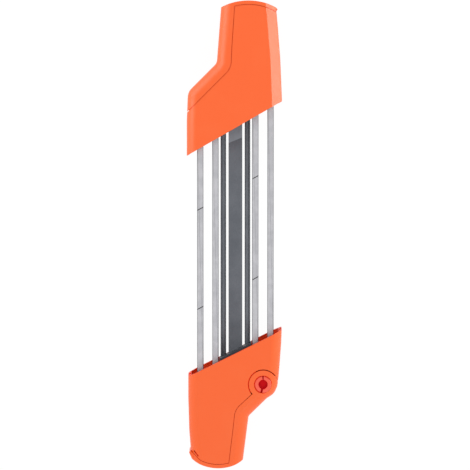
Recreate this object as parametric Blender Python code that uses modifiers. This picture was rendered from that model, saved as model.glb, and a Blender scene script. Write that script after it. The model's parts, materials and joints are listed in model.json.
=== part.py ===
"""Chainsaw file guide: two hollow handles joined by four guide rails, with two round files and a flat file.

It lies on its back: +Z points out of the front face and +Y to the upper handle. X is counted from the flat
file's axis, under an empty that centres the whole tool on the origin. Lengths are in metres. A table of
shares gives places across the handle as shares of half its width, and places along it as shares of its
length, from the mouth, where the rails go in, to the end of the grip.
"""

import math

import bmesh
import bpy
from mathutils import Matrix, Vector

# Handles
TOOL_LENGTH = 0.360
HANDLE_DEPTH = 0.036
UPPER_LENGTH = 0.0974
LOWER_LENGTH = 0.0914
UPPER_END_RADIUS = 0.046
LOWER_END_RADIUS = 0.034
UPPER_MOUTH_ANGLE = math.radians(29.8)
LOWER_MOUTH_ANGLE = math.radians(27.6)
EDGE_RADIUS = 0.008
WALL = 0.0024
CLEARANCE = 0.0003

# Files and rails, from the middle outwards
FLAT_FILE_WIDTH = 0.0106
FLAT_FILE_THICKNESS = 0.003
FLAT_FILE_RISE = 0.00065
FLAT_FILE_EDGE = 0.0002
FILE_GAP = 0.00183
ROUND_FILE_RADIUS = 0.0022
ROUND_FILE_CHAMFER = 0.0006
INNER_RAIL_GAP = 0.00147
RAIL_WIDTH = 0.0048
RAIL_HEIGHT = 0.007
RAIL_RISE = 0.0013
RAIL_EDGE = 0.0004
RAIL_SPACE = 0.0069
RAIL_INSERT = 0.020
FILE_INSERT = 0.018
FILE_REACH = 0.0088

# File holders
HOLDER_SIDE = 0.00175
HOLDER_SIDE_GAP = 0.00295
HOLDER_SETBACK = 0.004
HOLDER_LENGTH = 0.020
HOLDER_HEIGHT = 0.017
HOLDER_DROP = 0.006
LOWER_TONGUE_REACH = 0.0015
RAIL_PIN_RADIUS = 0.00125
RAIL_PIN_DEPTH = 0.012
RAIL_PIN_FLOOR = 0.002

# Screws, and the posts that the upper cover's screws go into
SCREW_RADIUS = 0.0015
SCREW_TIP = 0.002
SCREW_HEAD_RADIUS = 0.0029
SCREW_HEAD_HEIGHT = 0.0022
SCREW_SOCKET_RADIUS = 0.0014
SCREW_SOCKET_DEPTH = 0.0014
BOSS_RADIUS = 0.0044
COVER_SCREW_LENGTH = 0.012
COVER_BOSS_HEIGHT = 0.002
POST_LENGTH = 0.014
POST_WIDTH = 0.010
POST_ROOT = 0.007

# Hinge of the lower cover
EAR_RADIUS = 0.0112
PIN_HEAD_RADIUS = 0.0064
PIN_SHANK_RADIUS = 0.0048
PIN_HOLLOW_RADIUS = 0.0035
PIN_HOLLOW_DEPTH = 0.028
PIN_SLIT_WIDTH = 0.0012
PIN_SLIT_DEPTH = 0.014
PIN_SINK = 0.0004
BARREL_WALL = 0.0017
BARREL_SINK = 0.0032
ARM_WIDTH = 0.010
ARM_HEIGHT = 0.003
ARM_REACH = 0.0045
ARM_ANGLE = math.radians(185)
FOOT_WIDTH = 0.008
FOOT_LENGTH = 0.004

# File stop, latch and release slot of the lower cover, and the lip of each cover
STOP_HEIGHT = 0.014
STOP_THICKNESS = 0.003
STOP_GAP = 0.0005
LATCH_HEIGHT = 0.010
LIP_HEIGHT = 0.018
SLOT_LENGTH = 0.006
SLOT_WIDTH = 0.0013
SLOT_DEPTH = 0.012
SLOT_ANGLE = math.radians(130)

# Outlines: across share, along share, and the corner's radius as a share of the edge's radius
UPPER_OUTLINE_SHARES = [
    (0.978, -0.45, 0),
    (0.978, 0.232, 0),
    (0.945, 0.532, 0),
    (0.893, 0.784, 0),
    (0.817, 1.103, 0),
    (-0.268, 1.103, 0),
    (-0.391, 0.510, 0.73),
    (-0.997, 0.282, 1.74),
    (-1.022, 0.058, 0),
    (-1.022, -0.45, 0),
]
LOWER_OUTLINE_SHARES = [
    (0.978, -0.55, 0),
    (0.981, -0.199, 0),
    (0.967, -0.050, 0),
    (0.918, 0.207, 0),
    (0.900, 0.265, 0),
    (0.873, 0.295, 0),
    (0.831, 0.380, 1.03),
    (0.656, 0.397, 0),
    (0.281, 0.543, 0.37),
    (0.105, 1.109, 0),
    (-0.891, 1.109, 0),
    (-0.940, 0.705, 0),
    (-0.992, 0.409, 0),
    (-0.995, -0.55, 0),
]

# Seams between shells and cover, in the same shares, and the angles that they cover on the end and ear arcs
UPPER_SEAM_SHARES = [(-0.071, 0.619, 0), (-0.087, 0.468, 1.51), (-0.951, 0.143, 0), (-1.4, -0.020, 0)]
LOWER_SEAM_SHARES = [(-0.011, 0.501, 0.73), (-0.060, 0.680, 0)]
LOWER_EXIT_SHARES = [(-0.770, 0.918, 0), (-0.852, 0.887, 0), (-0.943, 0.851, 0), (-2, 0.851, 0)]
UPPER_SEAM_ANGLES = (math.radians(62), math.radians(104))
LOWER_SEAM_ANGLES = (math.radians(-75), math.radians(-114))
EAR_SEAM_ANGLES = (math.radians(6), math.radians(220))

# Single places, in the same shares
UPPER_CROWN_SHARE = 0.273
LOWER_CROWN_SHARE = -0.363
HINGE_SHARES = (0.582, 0.290)
UPPER_GRIP_SCREW_SHARES = [(0.628, 0.538), (0.574, 0.825)]
LOWER_GRIP_SCREW_SHARES = [(-0.656, 0.508), (-0.601, 0.759)]
SIDE_SCREW_SHARES = (-0.353, 0.692)
UPPER_LIP_SHARES = [(0.809, 0.932), (0.858, 0.9446), (0.883, 0.931), (0.869, 0.922), (0.836, 0.922)]
LOWER_LIP_SHARES = [(-0.915, 0.874), (-0.970, 0.8545), (-0.975, 0.864), (-0.945, 0.896), (-0.888, 0.907)]
LATCH_SHARES = [
    (-0.850, 0.760),
    (-0.817, 0.760),
    (-0.800, 0.900),
    (-0.885, 0.912),
    (-0.880, 0.893),
    (-0.843, 0.891),
]
SLOT_SHARES = (-0.836, 0.871)
STOP_ROOT_SHARES = [(0.503, 0.439), (0.391, 0.482)]

# Meshes
ARC_STEP = math.radians(9)
END_SPREAD = math.radians(45)
EDGE_SEGMENTS = 4
ROUND_SIDES = 24
SMALL_SIDES = 12
SOCKET_SIDES = 6
SMOOTH_ANGLE = math.radians(35)
FLAT_ANGLE = math.radians(0.1)
MERGE = 0.00001
OVERRUN = 0.020

# Places across, from the middle outwards
ROUND_FILE_X = FLAT_FILE_WIDTH / 2 + FILE_GAP + ROUND_FILE_RADIUS
FILES_HALF_WIDTH = ROUND_FILE_X + ROUND_FILE_RADIUS
TONGUE_HALF_WIDTH = FILES_HALF_WIDTH + INNER_RAIL_GAP - 2 * CLEARANCE
INNER_RAIL_X = FILES_HALF_WIDTH + INNER_RAIL_GAP + RAIL_WIDTH / 2
OUTER_RAIL_X = INNER_RAIL_X + RAIL_WIDTH + RAIL_SPACE
SCREW_X = (INNER_RAIL_X + OUTER_RAIL_X) / 2
HOLDER_HALF_WIDTH = OUTER_RAIL_X + RAIL_WIDTH / 2 + HOLDER_SIDE
HANDLE_HALF_WIDTH = HOLDER_HALF_WIDTH + HOLDER_SIDE_GAP + WALL

# Levels, from the back face up
BELOW = -OVERRUN
HEAD_SEAT = SCREW_HEAD_HEIGHT + 2 * CLEARANCE
BARREL_LOW = WALL + BARREL_SINK
MIDDLE = HANDLE_DEPTH / 2
HOLDER_LOW = MIDDLE - HOLDER_DROP
HOLDER_HIGH = HOLDER_LOW + HOLDER_HEIGHT
RAIL_LOW = MIDDLE + RAIL_RISE
FLAT_FILE_LOW = MIDDLE + FLAT_FILE_RISE - FLAT_FILE_THICKNESS / 2
BARREL_HIGH = HANDLE_DEPTH - WALL - BARREL_SINK
SCREW_TOP = HANDLE_DEPTH - WALL - CLEARANCE
ABOVE = HANDLE_DEPTH + OVERRUN

# Hinge radii, and the files' length
POCKET_RADIUS = EAR_RADIUS + CLEARANCE
SHANK_BORE_RADIUS = PIN_SHANK_RADIUS + CLEARANCE
BARREL_RADIUS = SHANK_BORE_RADIUS + BARREL_WALL
HOLDER_END = HOLDER_SETBACK + HOLDER_LENGTH
FILE_LENGTH = TOOL_LENGTH - UPPER_LENGTH - LOWER_LENGTH + FILE_INSERT + HOLDER_END + FILE_REACH


def clear_scene():
    for obj in list(bpy.data.objects):
        bpy.data.objects.remove(obj)


def new_material(name, colour, roughness, metallic):
    material = bpy.data.materials.new(name)
    material.use_nodes = True
    shader = material.node_tree.nodes["Principled BSDF"]
    shader.inputs["Base Color"].default_value = (*colour, 1)
    shader.inputs["Roughness"].default_value = roughness
    shader.inputs["Metallic"].default_value = metallic
    material.diffuse_color = (*colour, 1)
    return material


def arc(centre, radius, start, end):
    """Points along an arc, both ends included."""
    steps = math.ceil(abs(end - start) / ARC_STEP)
    angles = [start + (end - start) * step / steps for step in range(steps + 1)]
    return [centre + Vector((math.cos(angle), math.sin(angle))) * radius for angle in angles]


def rounded(corners):
    """A closed path through (point, radius) corners, each rounded by an arc that touches both its sides."""
    path = []
    for index, (point, radius) in enumerate(corners):
        if radius == 0:
            path.append(point)
            continue
        back = (corners[index - 1][0] - point).normalized()
        ahead = (corners[index + 1][0] - point).normalized()
        half = back.angle(ahead) / 2
        centre = point + (back + ahead).normalized() * radius / math.sin(half)
        first = (point + back * radius / math.tan(half) - centre).normalized()
        last = (point + ahead * radius / math.tan(half) - centre).normalized()
        steps = math.ceil((math.pi - 2 * half) / ARC_STEP)
        path += [centre + first.slerp(last, step / steps) * radius for step in range(steps + 1)]
    return path


def inset(path, distance):
    """The closed path moved inwards by distance, corner for corner."""
    area = sum(here.cross(after) for here, after in zip(path, path[1:] + path[:1]))
    moved = []
    for index, point in enumerate(path):
        back = (point - path[index - 1]).normalized()
        ahead = (path[(index + 1) % len(path)] - point).normalized()
        across = Vector((-back.y - ahead.y, back.x + ahead.x)) / (1 + back.dot(ahead))
        moved.append(point + across * distance * math.copysign(1, area))
    return moved


def realised(guide):
    """The mesh that an object makes with its modifiers. The object goes."""
    bpy.context.scene.collection.objects.link(guide)
    graph = bpy.context.evaluated_depsgraph_get()
    mesh = bpy.data.meshes.new_from_object(guide.evaluated_get(graph))
    mesh.name = guide.name
    bpy.data.objects.remove(guide)
    return mesh


def as_mesh(bm, name):
    mesh = bpy.data.meshes.new(name)
    bm.to_mesh(mesh)
    bm.free()
    return mesh


def slab(name, path, low, high, rounding=0.0):
    """A plan outline extruded from low to high, with its long edges rounded."""
    curve = bpy.data.curves.new(name, "CURVE")
    curve.dimensions = "2D"
    curve.fill_mode = "BOTH"
    curve.extrude = (high - low) / 2
    spline = curve.splines.new("POLY")
    spline.points.add(len(path) - 1)
    for spot, point in zip(spline.points, path):
        spot.co = (*point, 0, 1)
    spline.use_cyclic_u = True
    bm = bmesh.new()
    bm.from_mesh(realised(bpy.data.objects.new(name, curve)))
    bmesh.ops.remove_doubles(bm, verts=bm.verts, dist=MERGE)
    flat = [edge for edge in bm.edges if edge.calc_face_angle(math.pi) < FLAT_ANGLE]
    bmesh.ops.dissolve_edges(bm, edges=flat)
    bmesh.ops.recalc_face_normals(bm, faces=bm.faces)
    if rounding:
        rims = [edge for edge in bm.edges if abs(edge.verts[0].co.z - edge.verts[1].co.z) < MERGE]
        bmesh.ops.bevel(
            bm,
            geom=rims,
            offset=rounding,
            affect="EDGES",
            segments=EDGE_SEGMENTS,
            profile=0.5,
            material=-1,
        )
    bmesh.ops.translate(bm, verts=bm.verts, vec=(0, 0, (low + high) / 2))
    return as_mesh(bm, name)


def rod(name, radius, start, end, sides=ROUND_SIDES):
    """A cylinder between two points."""
    run = end - start
    spot = Matrix.Translation((start + end) / 2) @ run.to_track_quat("Z", "Y").to_matrix().to_4x4()
    bm = bmesh.new()
    bmesh.ops.create_cone(
        bm, cap_ends=True, segments=sides, radius1=radius, radius2=radius, depth=run.length, matrix=spot
    )
    return as_mesh(bm, name)


def upright(name, radius, plan, low, high, sides=ROUND_SIDES):
    """A cylinder along +Z over a plan point."""
    return rod(name, radius, Vector((*plan, low)), Vector((*plan, high)), sides)


def box(name, first, second, pivot=(0, 0), turn=0.0):
    """A box between two opposite corners, which are counted from the pivot and turned about it."""
    first, second = Vector(first), Vector(second)
    size = [abs(length) for length in second - first]
    spot = Matrix.Translation((*pivot, 0)) @ Matrix.Rotation(turn, 4, "Z")
    spot = spot @ Matrix.Translation((first + second) / 2) @ Matrix.Diagonal((*size, 1))
    bm = bmesh.new()
    bmesh.ops.create_cube(bm, size=1, matrix=spot)
    return as_mesh(bm, name)


def turned(name, profile, sides=ROUND_SIDES):
    """A mesh turned about +Z. The profile's (radius, height) points run down its outer side."""
    line = bpy.data.meshes.new(name)
    links = [(step, step + 1) for step in range(len(profile) - 1)]
    line.from_pydata([(radius, 0, height) for radius, height in profile], links, [])
    guide = bpy.data.objects.new(name, line)
    spin = guide.modifiers.new("turn", "SCREW")
    spin.steps = sides
    spin.render_steps = sides
    spin.use_merge_vertices = True
    spin.merge_threshold = MERGE
    return realised(guide)


def add(name, mesh, collection):
    obj = bpy.data.objects.new(name, mesh)
    obj.parent = frame
    collection.objects.link(obj)
    return obj


def part(name, mesh, material, location=(0, 0, 0), direction=(0, 0, 1)):
    """A piece of the tool, with its mesh's +Z axis along direction."""
    mesh.materials.clear()
    mesh.materials.append(material)
    mesh.shade_smooth()
    mesh.set_sharp_from_angle(angle=SMOOTH_ANGLE)
    obj = add(name, mesh, parts)
    obj.location = location
    obj.rotation_euler = Vector((0, 0, 1)).rotation_difference(Vector(direction)).to_euler()
    return obj


def combine(obj, operation, meshes):
    for mesh in meshes:
        tool = add(mesh.name, mesh, tools)
        tool.hide_render = True
        tool.display_type = "WIRE"
        modifier = obj.modifiers.new(mesh.name, "BOOLEAN")
        modifier.operation = operation
        modifier.object = tool


def cut(obj, *meshes):
    combine(obj, "DIFFERENCE", meshes)


def join(obj, *meshes):
    combine(obj, "UNION", meshes)


def keep(obj, *meshes):
    combine(obj, "INTERSECT", meshes)


class Handle:
    """The plan of one handle. side is 1 for the upper one and -1 for the lower one."""

    def __init__(self, name, side, length, mouth_angle, end_radius, crown_share, outline_shares):
        self.name = name
        self.side = side
        self.length = length
        self.slope = math.tan(mouth_angle)
        self.end_radius = end_radius
        self.end_centre = self.point(crown_share, 1) - Vector((0, side * end_radius))
        self.outline = rounded(self.corners(outline_shares))

    def point(self, across, along):
        run = TOOL_LENGTH / 2 - (1 - along) * self.length
        return Vector((across * HANDLE_HALF_WIDTH, self.side * run))

    def points(self, shares):
        return [self.point(across, along) for across, along in shares]

    def corners(self, shares):
        return [(self.point(across, along), radius * EDGE_RADIUS) for across, along, radius in shares]

    def mouth(self, x, depth=0.0):
        """The point of the slanted mouth line at x, moved into the handle by depth along Y."""
        return Vector((x, self.side * (TOOL_LENGTH / 2 - self.length + depth) + x * self.slope))

    def mouth_line(self, depth=0.0):
        return [self.mouth(-2 * HANDLE_HALF_WIDTH, depth), self.mouth(2 * HANDLE_HALF_WIDTH, depth)]

    def end_arc(self, distance, angles):
        return arc(self.end_centre, self.end_radius - distance, *angles)

    def plan(self, distance, mouth_depth):
        """All between the mouth line and the end arc moved in by distance, and well past both sides."""
        middle = self.side * math.pi / 2
        crown = self.end_arc(distance, (middle - self.side * END_SPREAD, middle + self.side * END_SPREAD))
        right = Vector((2 * HANDLE_HALF_WIDTH, crown[0].y))
        left = Vector((-2 * HANDLE_HALF_WIDTH, crown[-1].y))
        return [*self.mouth_line(mouth_depth), right, *crown, left]

    def zone(self, seam):
        """The plan of the two shells: the mouth line, and the seam's corners from the right side round."""
        start = Vector((2 * HANDLE_HALF_WIDTH, seam[0][0].y))
        return rounded([(point, 0) for point in (*self.mouth_line(), start)] + seam)


def bare(points):
    """Points as corners that aren't rounded."""
    return [(point, 0) for point in points]


def screw(name, length):
    """A screw along +Z with its head's face at zero."""
    profile = [
        (0, length),
        (SCREW_RADIUS, length - SCREW_TIP),
        (SCREW_RADIUS, SCREW_HEAD_HEIGHT),
        (SCREW_HEAD_RADIUS, SCREW_HEAD_HEIGHT),
        (SCREW_HEAD_RADIUS, 0),
        (0, 0),
    ]
    guide = bpy.data.objects.new(name, turned(name + "_turned", profile, SMALL_SIDES))
    low, high = -SCREW_SOCKET_DEPTH, SCREW_SOCKET_DEPTH
    cut(guide, upright(name + "_socket", SCREW_SOCKET_RADIUS, (0, 0), low, high, SOCKET_SIDES))
    return realised(guide)


def make_handle(handle, zone, grip_screws):
    """The shells and end cover of a handle, hollow and parted, and the screws in the shells."""
    name = handle.name
    blank = slab(name + "_blank", handle.outline, 0, HANDLE_DEPTH, EDGE_RADIUS)
    hollow = bpy.data.objects.new(
        name + "_hollow",
        slab(name + "_inside", inset(handle.outline, WALL), WALL, HANDLE_DEPTH - WALL, EDGE_RADIUS - WALL),
    )
    keep(hollow, slab(name + "_inside_plan", handle.plan(WALL, -OVERRUN), BELOW, ABOVE))
    hollow = realised(hollow)
    front = part(name + "_front_shell", blank.copy(), orange)
    back = part(name + "_back_shell", blank.copy(), orange)
    cover = part(name + "_end_cover", blank, orange)
    keep(front, slab(name + "_front_zone", zone, MIDDLE + CLEARANCE / 2, ABOVE))
    keep(back, slab(name + "_back_zone", zone, BELOW, MIDDLE - CLEARANCE / 2))
    keep(cover, slab(name + "_plan", handle.plan(0, 0), BELOW, ABOVE))
    for obj in (front, back, cover):
        cut(obj, hollow)
    cut(cover, slab(name + "_gap", inset(zone, -CLEARANCE), BELOW, ABOVE))

    holder_screws = [handle.mouth(x, HOLDER_SETBACK + HOLDER_LENGTH / 2) for x in (-SCREW_X, SCREW_X)]
    spots = [(plan, HOLDER_LOW - CLEARANCE, HOLDER_HIGH + CLEARANCE) for plan in holder_screws]
    spots += [(plan, MIDDLE - CLEARANCE / 2, MIDDLE + CLEARANCE / 2) for plan in handle.points(grip_screws)]
    for number, (plan, low, high) in enumerate(spots, 1):
        mark = f"{name}_shell_screw_{number}"
        join(front, upright(mark + "_front_boss", BOSS_RADIUS, plan, high, HANDLE_DEPTH - WALL / 2))
        join(back, upright(mark + "_back_boss", BOSS_RADIUS, plan, WALL / 2, low))
        hole = screw_hole(mark, plan)
        cut(front, hole)
        cut(back, hole, upright(mark + "_seat", SCREW_HEAD_RADIUS + CLEARANCE, plan, BELOW, HEAD_SEAT))
        part(mark, shell_screw, steel, (*plan, CLEARANCE))
    return front, back, cover, holder_screws


def screw_hole(mark, plan):
    return upright(mark + "_hole", SCREW_RADIUS + CLEARANCE, plan, BELOW, SCREW_TOP + CLEARANCE, SMALL_SIDES)


def fasten_cover(name, front, cover, outside, inwards):
    """A screw through the upper cover's wall into a post that hangs from the front shell."""
    outside = Vector((*outside, MIDDLE))
    inwards = Vector(inwards)
    side = Vector((inwards.y, inwards.x, 0)) * POST_WIDTH / 2
    rise = Vector((0, 0, POST_WIDTH / 2))
    boss_end = outside + inwards * (WALL + COVER_BOSS_HEIGHT)
    post_start = boss_end + inwards * CLEARANCE
    post_end = post_start + inwards * POST_LENGTH
    root_start = post_end - inwards * POST_ROOT
    root_top = Vector((0, 0, MIDDLE - WALL / 2))
    join(cover, rod(name + "_boss", BOSS_RADIUS, outside + inwards * WALL / 2, boss_end))
    join(front, box(name + "_post", post_start - side - rise, post_end + side + rise))
    join(front, box(name + "_root", root_start - side, post_end + side + root_top))
    hole_start = outside - inwards * OVERRUN
    hole_end = outside + inwards * (COVER_SCREW_LENGTH + SCREW_TIP)
    seat_end = outside + inwards * HEAD_SEAT
    hole = rod(name + "_hole", SCREW_RADIUS + CLEARANCE, hole_start, hole_end, SMALL_SIDES)
    cut(front, hole)
    cut(cover, hole, rod(name + "_seat", SCREW_HEAD_RADIUS + CLEARANCE, hole_start, seat_end))
    part(name, cover_screw, steel, outside + inwards * CLEARANCE, inwards)


def add_lip(cover, points):
    join(cover, slab(cover.name + "_lip", points, MIDDLE - LIP_HEIGHT / 2, MIDDLE + LIP_HEIGHT / 2))


def add_pivot(shell, hinge, parting, tip, wall):
    """A shell's half of the hinge barrel, from its parting level to its tip, on an arm off the wall."""
    thickness = math.copysign(ARM_HEIGHT, parting - tip)
    end = POCKET_RADIUS + ARM_REACH
    start = end - FOOT_LENGTH
    arm = [(0, -ARM_WIDTH / 2, tip), (end, ARM_WIDTH / 2, tip + thickness)]
    foot = [(start, -FOOT_WIDTH / 2, wall), (end - CLEARANCE, FOOT_WIDTH / 2, tip + thickness / 2)]
    join(
        shell,
        upright(shell.name + "_barrel", BARREL_RADIUS, hinge, parting, tip),
        box(shell.name + "_arm", *arm, hinge, ARM_ANGLE),
        box(shell.name + "_foot", *foot, hinge, ARM_ANGLE),
    )
    cut(shell, upright(shell.name + "_bore", SHANK_BORE_RADIUS, hinge, BELOW, ABOVE))


def make_hinge_pin(hinge):
    """A snap pin with a hollow, split head, through the ear's holes and the shells' barrel."""
    top = HANDLE_DEPTH - PIN_SINK
    floor = top - PIN_HOLLOW_DEPTH
    profile = [
        (0, floor),
        (PIN_HOLLOW_RADIUS, floor),
        (PIN_HOLLOW_RADIUS, top),
        (PIN_HEAD_RADIUS, top),
        (PIN_HEAD_RADIUS, BARREL_HIGH + CLEARANCE),
        (PIN_SHANK_RADIUS, BARREL_HIGH + CLEARANCE),
        (PIN_SHANK_RADIUS, BARREL_LOW - CLEARANCE),
        (PIN_HEAD_RADIUS, BARREL_LOW - CLEARANCE),
        (PIN_HEAD_RADIUS, PIN_SINK),
        (0, PIN_SINK),
    ]
    pin = part("hinge_pin", turned("hinge_pin", profile), red, (*hinge, 0))
    reach = Vector((PIN_SLIT_WIDTH / 2, PIN_HEAD_RADIUS + OVERRUN))
    cut(pin, box("pin_slit", (*-reach, top - PIN_SLIT_DEPTH), (*reach, ABOVE), hinge))


def make_lower_cover(cover, lower, upper, hinge):
    """The swinging cover's lip, ear holes, latch tongue and file stop, with its origin moved to the hinge."""
    add_lip(cover, lower.points(LOWER_LIP_SHARES))
    latch = slab("latch", lower.points(LATCH_SHARES), MIDDLE - LATCH_HEIGHT / 2, MIDDLE + LATCH_HEIGHT / 2)
    drop = Vector((0, upper.slope * FLAT_FILE_WIDTH / 2 + STOP_GAP))
    thickness = Vector((0, STOP_THICKNESS))
    stop = [
        file_end(upper, -FILES_HALF_WIDTH) - drop,
        file_end(upper, FILES_HALF_WIDTH) - drop,
        *lower.points(STOP_ROOT_SHARES),
        file_end(upper, FILES_HALF_WIDTH - STOP_THICKNESS) - drop - thickness,
        file_end(upper, -FILES_HALF_WIDTH) - drop - thickness,
    ]
    join(cover, latch, slab("stop", stop, MIDDLE - STOP_HEIGHT / 2, MIDDLE + STOP_HEIGHT / 2))
    cut(cover, upright("ear_hole", PIN_HEAD_RADIUS + CLEARANCE, hinge, BELOW, ABOVE))
    cover.data.transform(Matrix.Translation((*-hinge, 0)))
    cover.location = (*hinge, 0)


def file_end(upper, x):
    """The lower end of the file at x."""
    return upper.mouth(x, FILE_INSERT) - Vector((0, FILE_LENGTH))


def bar(name, low, high, edge, material):
    """A straight bar between two corners, with its edges taken off."""
    half = (high - low) / 2
    obj = part(name, box(name, -half, half), material, (low + high) / 2)
    rounding = obj.modifiers.new("edge", "BEVEL")
    rounding.width = edge
    rounding.segments = 1
    return obj


def make_holder(handle, reach):
    """The block that seats the rails and files in a handle's mouth. Its tongue stands out by reach."""
    steps = [
        (-HOLDER_HALF_WIDTH, HOLDER_SETBACK),
        (-TONGUE_HALF_WIDTH, HOLDER_SETBACK),
        (-TONGUE_HALF_WIDTH, -reach),
        (TONGUE_HALF_WIDTH, -reach),
        (TONGUE_HALF_WIDTH, HOLDER_SETBACK),
        (HOLDER_HALF_WIDTH, HOLDER_SETBACK),
        (HOLDER_HALF_WIDTH, HOLDER_END),
        (-HOLDER_HALF_WIDTH, HOLDER_END),
    ]
    name = handle.name + "_file_holder"
    outline = [handle.mouth(x, depth) for x, depth in steps]
    return part(name, slab(name, outline, HOLDER_LOW, HOLDER_HIGH), dark)


def make_rail(name, x, handles, holders):
    """A rail between the two handles, its slots in the holders, and a pin through each of its ends."""
    upper, lower = handles
    start, end = lower.mouth(x, RAIL_INSERT), upper.mouth(x, RAIL_INSERT)
    corner = Vector((RAIL_WIDTH / 2, 0, 0))
    low, high = Vector((*start, RAIL_LOW)) - corner, Vector((*end, RAIL_LOW + RAIL_HEIGHT)) + corner
    rail = bar(name + "_rail", low, high, RAIL_EDGE, steel_plate)
    room = Vector((CLEARANCE, CLEARANCE, CLEARANCE))
    for handle, holder in zip(handles, holders):
        mark = f"{name}_{handle.name}"
        plan = handle.mouth(x, RAIL_PIN_DEPTH)
        base = HOLDER_LOW + RAIL_PIN_FLOOR
        bore = upright(mark + "_pin_bore", RAIL_PIN_RADIUS + CLEARANCE, plan, base, ABOVE, SMALL_SIDES)
        cut(rail, bore)
        cut(holder, box(mark + "_slot", low - room, high + room), bore)
        height = HOLDER_HIGH - base - CLEARANCE
        profile = [(0, height), (RAIL_PIN_RADIUS, height), (RAIL_PIN_RADIUS, 0), (0, 0)]
        part(mark + "_pin", turned(mark + "_pin", profile, SMALL_SIDES), steel, (*plan, base + CLEARANCE))


def make_round_file(name, x, upper, holders):
    foot = file_end(upper, x)
    tip = ROUND_FILE_RADIUS - ROUND_FILE_CHAMFER
    profile = [
        (0, FILE_LENGTH),
        (tip, FILE_LENGTH),
        (ROUND_FILE_RADIUS, FILE_LENGTH - ROUND_FILE_CHAMFER),
        (ROUND_FILE_RADIUS, ROUND_FILE_CHAMFER),
        (tip, 0),
        (0, 0),
    ]
    part(name, turned(name, profile), file_steel, (*foot, MIDDLE), (0, 1, 0))
    low = Vector((*foot, MIDDLE)) - Vector((0, OVERRUN, 0))
    high = Vector((x, foot.y + FILE_LENGTH + CLEARANCE, MIDDLE))
    for holder in holders:
        cut(holder, rod(f"{name}_{holder.name}_bore", ROUND_FILE_RADIUS + CLEARANCE, low, high))


def make_flat_file(upper, holders):
    foot = file_end(upper, 0)
    half = FLAT_FILE_WIDTH / 2
    low = Vector((-half, foot.y, FLAT_FILE_LOW))
    high = Vector((half, foot.y + FILE_LENGTH, FLAT_FILE_LOW + FLAT_FILE_THICKNESS))
    bar("flat_file", low, high, FLAT_FILE_EDGE, file_steel)
    room = Vector((CLEARANCE, CLEARANCE, CLEARANCE))
    for holder in holders:
        cut(holder, box(f"flat_file_{holder.name}_slot", low - room - Vector((0, OVERRUN, 0)), high + room))


def build():
    upper = Handle(
        "upper",
        1,
        UPPER_LENGTH,
        UPPER_MOUTH_ANGLE,
        UPPER_END_RADIUS,
        UPPER_CROWN_SHARE,
        UPPER_OUTLINE_SHARES,
    )
    lower = Handle(
        "lower",
        -1,
        LOWER_LENGTH,
        LOWER_MOUTH_ANGLE,
        LOWER_END_RADIUS,
        LOWER_CROWN_SHARE,
        LOWER_OUTLINE_SHARES,
    )
    hinge = lower.point(*HINGE_SHARES)
    end_seam = WALL + 2 * CLEARANCE
    upper_seam = bare(upper.end_arc(end_seam, UPPER_SEAM_ANGLES)) + upper.corners(UPPER_SEAM_SHARES)
    lower_seam = bare(arc(hinge, POCKET_RADIUS, *EAR_SEAM_ANGLES)) + lower.corners(LOWER_SEAM_SHARES)
    lower_seam += bare(lower.end_arc(end_seam, LOWER_SEAM_ANGLES)) + lower.corners(LOWER_EXIT_SHARES)

    front, _, cover, upper_screws = make_handle(upper, upper.zone(upper_seam), UPPER_GRIP_SCREW_SHARES)
    add_lip(cover, upper.points(UPPER_LIP_SHARES))
    fasten_cover("cover_side_screw", front, cover, upper.point(*SIDE_SCREW_SHARES), (1, 0, 0))
    fasten_cover("cover_end_screw", front, cover, upper.point(UPPER_CROWN_SHARE, 1), (0, -1, 0))

    front, back, cover, lower_screws = make_handle(lower, lower.zone(lower_seam), LOWER_GRIP_SCREW_SHARES)
    add_pivot(front, hinge, MIDDLE + CLEARANCE / 2, BARREL_HIGH, HANDLE_DEPTH - WALL / 2)
    add_pivot(back, hinge, MIDDLE - CLEARANCE / 2, BARREL_LOW, WALL / 2)
    slot = Vector((SLOT_LENGTH / 2, SLOT_WIDTH / 2))
    slot_low = HANDLE_DEPTH - SLOT_DEPTH
    cut(front, box("release_slot", (*-slot, slot_low), (*slot, ABOVE), lower.point(*SLOT_SHARES), SLOT_ANGLE))
    make_lower_cover(cover, lower, upper, hinge)
    make_hinge_pin(hinge)

    handles = (upper, lower)
    holders = (make_holder(upper, 0), make_holder(lower, LOWER_TONGUE_REACH))
    for name, x in (
        ("outer_left", -OUTER_RAIL_X),
        ("inner_left", -INNER_RAIL_X),
        ("inner_right", INNER_RAIL_X),
        ("outer_right", OUTER_RAIL_X),
    ):
        make_rail(name, x, handles, holders)
    make_round_file("left_round_file", -ROUND_FILE_X, upper, holders)
    make_round_file("right_round_file", ROUND_FILE_X, upper, holders)
    make_flat_file(upper, holders)
    for holder, screws in zip(holders, (upper_screws, lower_screws)):
        for number, plan in enumerate(screws, 1):
            cut(holder, screw_hole(f"{holder.name}_{number}", plan))

    reach = [point.x for handle in handles for point in handle.outline]
    frame.location.x = -(min(reach) + max(reach)) / 2


clear_scene()
parts = bpy.data.collections.new("chainsaw_file_guide")
tools = bpy.data.collections.new("tools")
tools.hide_render = True
bpy.context.scene.collection.children.link(tools)
frame = bpy.data.objects.new("chainsaw_file_guide", None)
parts.objects.link(frame)
orange = new_material("orange_plastic", (0.99, 0.171, 0.0545), 0.45, 0)
red = new_material("red_plastic", (1, 0.136, 0.087), 0.45, 0)
dark = new_material("dark_plastic", (0.045, 0.048, 0.058), 0.5, 0)
steel_plate = new_material("plated_steel", (0.57, 0.565, 0.6), 0.35, 1)
file_steel = new_material("file_steel", (0.147, 0.156, 0.178), 0.45, 1)
steel = new_material("screw_steel", (0.3, 0.3, 0.31), 0.35, 1)
shell_screw = screw("shell_screw", SCREW_TOP - CLEARANCE)
cover_screw = screw("cover_screw", COVER_SCREW_LENGTH)
build()
bpy.context.scene.collection.children.link(parts)
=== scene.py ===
import json
import math

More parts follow.
